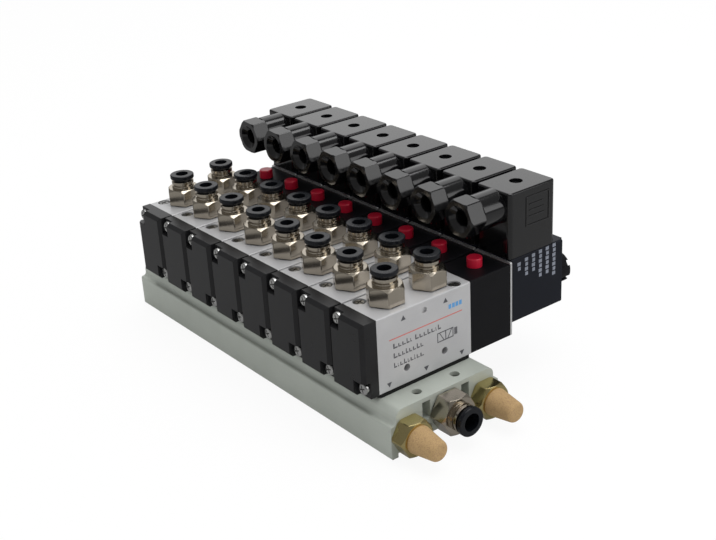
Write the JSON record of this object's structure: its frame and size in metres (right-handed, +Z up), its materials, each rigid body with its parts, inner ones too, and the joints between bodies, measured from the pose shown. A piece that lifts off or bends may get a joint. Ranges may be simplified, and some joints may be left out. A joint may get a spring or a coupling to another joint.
{
  "type": "pneumatic valve island",
  "caption": "Bank of solenoid spool valves on an extruded manifold, with push-in tube fittings on top, angled cable connectors, manual override buttons and exhaust silencers.",
  "frame": {"origin": "bottom centre of the whole island, at the level of the manifold's feet", "axes": "+X towards the coils, +Y along the manifold away from the supply end, +Z up"},
  "size_m": [0.1274, 0.2284, 0.0917],
  "materials": {
    "manifold": "pale grey-green satin coating",
    "plug_steel": "zinc plated",
    "gasket_rubber": "matt",
    "valve_aluminium": "fine blasted, light silver",
    "cover_plastic": "matt black",
    "pilot_plastic": "satin black",
    "plate_steel": "bright sheet",
    "tube_steel": "turned",
    "coil_resin": "satin black with grey rating bars",
    "nut_plastic": "satin black",
    "terminal_plastic": "black",
    "connector_plastic": "glossy black",
    "gland_plastic": "glossy black",
    "screw_zinc": "zinc plated",
    "screw_dark": "dark zinc",
    "fitting_nickel": "nickel plated brass",
    "silencer_brass": "yellow passivated",
    "sintered_bronze": "sintered, matt and grainy",
    "button_red": "red",
    "spool_aluminium": "ground, with moulded seals",
    "armature_iron": "turned",
    "collar_plastic": "black"
  },
  "bodies": {
    "island": {"manifold_base": "manifold", "manifold_plugs": "plug_steel", "valve_gaskets": "gasket_rubber", "valve_bodies": "valve_aluminium", "end_covers": "cover_plastic", "pilot_bodies": "pilot_plastic", "coil_plates": "plate_steel", "armature_tubes": "tube_steel", "coils": "coil_resin", "coil_nuts": "nut_plastic", "connector_bases": "terminal_plastic", "connector_housings": "connector_plastic", "gland_nuts": "gland_plastic", "cover_screws": "screw_zinc", "mounting_screws": "screw_zinc", "connector_screws": "screw_dark", "fitting_bodies": "fitting_nickel", "silencer_bodies": "silencer_brass", "silencer_elements": "sintered_bronze"},
    "override_button_1": {"override_button_1": "button_red"},
    "spool_1": {"spool_1": "spool_aluminium"},
    "armature_1": {"armature_1": "armature_iron"},
    "release_collar_a_1": {"release_collar_a_1": "collar_plastic"},
    "release_collar_b_1": {"release_collar_b_1": "collar_plastic"},
    "override_button_2": {"override_button_2": "button_red"},
    "spool_2": {"spool_2": "spool_aluminium"},
    "armature_2": {"armature_2": "armature_iron"},
    "release_collar_a_2": {"release_collar_a_2": "collar_plastic"},
    "release_collar_b_2": {"release_collar_b_2": "collar_plastic"},
    "override_button_3": {"override_button_3": "button_red"},
    "spool_3": {"spool_3": "spool_aluminium"},
    "armature_3": {"armature_3": "armature_iron"},
    "release_collar_a_3": {"release_collar_a_3": "collar_plastic"},
    "release_collar_b_3": {"release_collar_b_3": "collar_plastic"},
    "override_button_4": {"override_button_4": "button_red"},
    "spool_4": {"spool_4": "spool_aluminium"},
    "armature_4": {"armature_4": "armature_iron"},
    "release_collar_a_4": {"release_collar_a_4": "collar_plastic"},
    "release_collar_b_4": {"release_collar_b_4": "collar_plastic"},
    "override_button_5": {"override_button_5": "button_red"},
    "spool_5": {"spool_5": "spool_aluminium"},
    "armature_5": {"armature_5": "armature_iron"},
    "release_collar_a_5": {"release_collar_a_5": "collar_plastic"},
    "release_collar_b_5": {"release_collar_b_5": "collar_plastic"},
    "override_button_6": {"override_button_6": "button_red"},
    "spool_6": {"spool_6": "spool_aluminium"},
    "armature_6": {"armature_6": "armature_iron"},
    "release_collar_a_6": {"release_collar_a_6": "collar_plastic"},
    "release_collar_b_6": {"release_collar_b_6": "collar_plastic"},
    "override_button_7": {"override_button_7": "button_red"},
    "spool_7": {"spool_7": "spool_aluminium"},
    "armature_7": {"armature_7": "armature_iron"},
    "release_collar_a_7": {"release_collar_a_7": "collar_plastic"},
    "release_collar_b_7": {"release_collar_b_7": "collar_plastic"},
    "override_button_8": {"override_button_8": "button_red"},
    "spool_8": {"spool_8": "spool_aluminium"},
    "armature_8": {"armature_8": "armature_iron"},
    "release_collar_a_8": {"release_collar_a_8": "collar_plastic"},
    "release_collar_b_8": {"release_collar_b_8": "collar_plastic"},
    "release_collar_p": {"release_collar_p": "collar_plastic"}
  },
  "joints": [
    {"name": "override_press_1", "type": "slide", "parent": "island", "child": "override_button_1", "axis": [0, 0, -1], "range_m": [0, 0.0015], "stiffness_N_per_m": 400, "springref_m": -0.001},
    {"name": "spool_shift_1", "type": "slide", "parent": "island", "child": "spool_1", "axis": [-1, 0, 0], "range_m": [0, 0.003], "stiffness_N_per_m": 600, "springref_m": -0.003},
    {"name": "armature_pull_1", "type": "slide", "parent": "island", "child": "armature_1", "axis": [1, 0, 0], "range_m": [0, 0.0008], "stiffness_N_per_m": 400, "springref_m": -0.002},
    {"name": "collar_a_release_1", "type": "slide", "parent": "island", "child": "release_collar_a_1", "axis": [0, 0, -1], "range_m": [0, 0.0009]},
    {"name": "collar_b_release_1", "type": "slide", "parent": "island", "child": "release_collar_b_1", "axis": [0, 0, -1], "range_m": [0, 0.0009]},
    {"name": "override_press_2", "type": "slide", "parent": "island", "child": "override_button_2", "axis": [0, 0, -1], "range_m": [0, 0.0015], "stiffness_N_per_m": 400, "springref_m": -0.001},
    {"name": "spool_shift_2", "type": "slide", "parent": "island", "child": "spool_2", "axis": [-1, 0, 0], "range_m": [0, 0.003], "stiffness_N_per_m": 600, "springref_m": -0.003},
    {"name": "armature_pull_2", "type": "slide", "parent": "island", "child": "armature_2", "axis": [1, 0, 0], "range_m": [0, 0.0008], "stiffness_N_per_m": 400, "springref_m": -0.002},
    {"name": "collar_a_release_2", "type": "slide", "parent": "island", "child": "release_collar_a_2", "axis": [0, 0, -1], "range_m": [0, 0.0009]},
    {"name": "collar_b_release_2", "type": "slide", "parent": "island", "child": "release_collar_b_2", "axis": [0, 0, -1], "range_m": [0, 0.0009]},
    {"name": "override_press_3", "type": "slide", "parent": "island", "child": "override_button_3", "axis": [0, 0, -1], "range_m": [0, 0.0015], "stiffness_N_per_m": 400, "springref_m": -0.001},
    {"name": "spool_shift_3", "type": "slide", "parent": "island", "child": "spool_3", "axis": [-1, 0, 0], "range_m": [0, 0.003], "stiffness_N_per_m": 600, "springref_m": -0.003},
    {"name": "armature_pull_3", "type": "slide", "parent": "island", "child": "armature_3", "axis": [1, 0, 0], "range_m": [0, 0.0008], "stiffness_N_per_m": 400, "springref_m": -0.002},
    {"name": "collar_a_release_3", "type": "slide", "parent": "island", "child": "release_collar_a_3", "axis": [0, 0, -1], "range_m": [0, 0.0009]},
    {"name": "collar_b_release_3", "type": "slide", "parent": "island", "child": "release_collar_b_3", "axis": [0, 0, -1], "range_m": [0, 0.0009]},
    {"name": "override_press_4", "type": "slide", "parent": "island", "child": "override_button_4", "axis": [0, 0, -1], "range_m": [0, 0.0015], "stiffness_N_per_m": 400, "springref_m": -0.001},
    {"name": "spool_shift_4", "type": "slide", "parent": "island", "child": "spool_4", "axis": [-1, 0, 0], "range_m": [0, 0.003], "stiffness_N_per_m": 600, "springref_m": -0.003},
    {"name": "armature_pull_4", "type": "slide", "parent": "island", "child": "armature_4", "axis": [1, 0, 0], "range_m": [0, 0.0008], "stiffness_N_per_m": 400, "springref_m": -0.002},
    {"name": "collar_a_release_4", "type": "slide", "parent": "island", "child": "release_collar_a_4", "axis": [0, 0, -1], "range_m": [0, 0.0009]},
    {"name": "collar_b_release_4", "type": "slide", "parent": "island", "child": "release_collar_b_4", "axis": [0, 0, -1], "range_m": [0, 0.0009]},
    {"name": "override_press_5", "type": "slide", "parent": "island", "child": "override_button_5", "axis": [0, 0, -1], "range_m": [0, 0.0015], "stiffness_N_per_m": 400, "springref_m": -0.001},
    {"name": "spool_shift_5", "type": "slide", "parent": "island", "child": "spool_5", "axis": [-1, 0, 0], "range_m": [0, 0.003], "stiffness_N_per_m": 600, "springref_m": -0.003},
    {"name": "armature_pull_5", "type": "slide", "parent": "island", "child": "armature_5", "axis": [1, 0, 0], "range_m": [0, 0.0008], "stiffness_N_per_m": 400, "springref_m": -0.002},
    {"name": "collar_a_release_5", "type": "slide", "parent": "island", "child": "release_collar_a_5", "axis": [0, 0, -1], "range_m": [0, 0.0009]},
    {"name": "collar_b_release_5", "type": "slide", "parent": "island", "child": "release_collar_b_5", "axis": [0, 0, -1], "range_m": [0, 0.0009]},
    {"name": "override_press_6", "type": "slide", "parent": "island", "child": "override_button_6", "axis": [0, 0, -1], "range_m": [0, 0.0015], "stiffness_N_per_m": 400, "springref_m": -0.001},
    {"name": "spool_shift_6", "type": "slide", "parent": "island", "child": "spool_6", "axis": [-1, 0, 0], "range_m": [0, 0.003], "stiffness_N_per_m": 600, "springref_m": -0.003},
    {"name": "armature_pull_6", "type": "slide", "parent": "island", "child": "armature_6", "axis": [1, 0, 0], "range_m": [0, 0.0008], "stiffness_N_per_m": 400, "springref_m": -0.002},
    {"name": "collar_a_release_6", "type": "slide", "parent": "island", "child": "release_collar_a_6", "axis": [0, 0, -1], "range_m": [0, 0.0009]},
    {"name": "collar_b_release_6", "type": "slide", "parent": "island", "child": "release_collar_b_6", "axis": [0, 0, -1], "range_m": [0, 0.0009]},
    {"name": "override_press_7", "type": "slide", "parent": "island", "child": "override_button_7", "axis": [0, 0, -1], "range_m": [0, 0.0015], "stiffness_N_per_m": 400, "springref_m": -0.001},
    {"name": "spool_shift_7", "type": "slide", "parent": "island", "child": "spool_7", "axis": [-1, 0, 0], "range_m": [0, 0.003], "stiffness_N_per_m": 600, "springref_m": -0.003},
    {"name": "armature_pull_7", "type": "slide", "parent": "island", "child": "armature_7", "axis": [1, 0, 0], "range_m": [0, 0.0008], "stiffness_N_per_m": 400, "springref_m": -0.002},
    {"name": "collar_a_release_7", "type": "slide", "parent": "island", "child": "release_collar_a_7", "axis": [0, 0, -1], "range_m": [0, 0.0009]},
    {"name": "collar_b_release_7", "type": "slide", "parent": "island", "child": "release_collar_b_7", "axis": [0, 0, -1], "range_m": [0, 0.0009]},
    {"name": "override_press_8", "type": "slide", "parent": "island", "child": "override_button_8", "axis": [0, 0, -1], "range_m": [0, 0.0015], "stiffness_N_per_m": 400, "springref_m": -0.001},
    {"name": "spool_shift_8", "type": "slide", "parent": "island", "child": "spool_8", "axis": [-1, 0, 0], "range_m": [0, 0.003], "stiffness_N_per_m": 600, "springref_m": -0.003},
    {"name": "armature_pull_8", "type": "slide", "parent": "island", "child": "armature_8", "axis": [1, 0, 0], "range_m": [0, 0.0008], "stiffness_N_per_m": 400, "springref_m": -0.002},
    {"name": "collar_a_release_8", "type": "slide", "parent": "island", "child": "release_collar_a_8", "axis": [0, 0, -1], "range_m": [0, 0.0009]},
    {"name": "collar_b_release_8", "type": "slide", "parent": "island", "child": "release_collar_b_8", "axis": [0, 0, -1], "range_m": [0, 0.0009]},
    {"name": "collar_p_release", "type": "slide", "parent": "island", "child": "release_collar_p", "axis": [0, 1, 0], "range_m": [0, 0.0009]}
  ]
}
